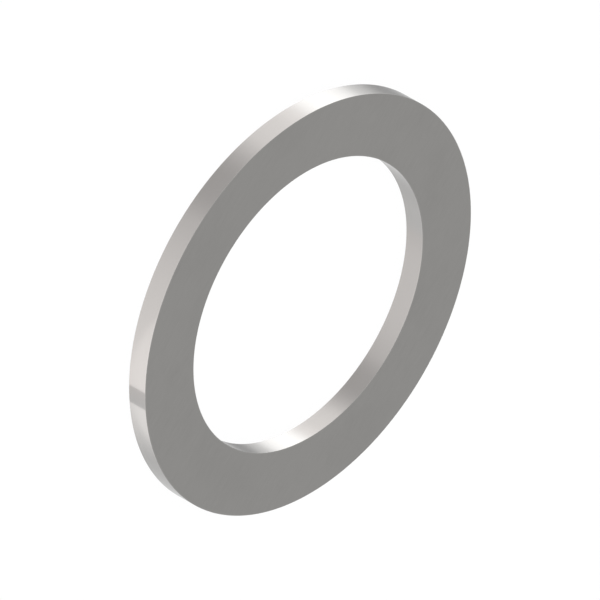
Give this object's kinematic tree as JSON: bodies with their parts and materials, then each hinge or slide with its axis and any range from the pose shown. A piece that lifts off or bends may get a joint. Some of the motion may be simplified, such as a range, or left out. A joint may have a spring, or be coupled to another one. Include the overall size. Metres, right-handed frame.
{
  "type": "flat washer",
  "caption": "Plain flat steel support washer: a thin ring with a wide bore, square section and lightly broken edges, used as a spacer or shoulder on a shaft.",
  "frame": {"origin": "centre of the lower face, on the bore's axis", "axes": "+Z along the bore's axis, from the lower face to the upper face; the ring is round, so X and Y are any two directions across it"},
  "size_m": [0.04, 0.04, 0.002],
  "materials": {
    "steel": "bare spring steel: grey satin faces, bright cut rim and bore"
  },
  "bodies": {
    "root": {"washer": "steel"}
  },
  "joints": []
}
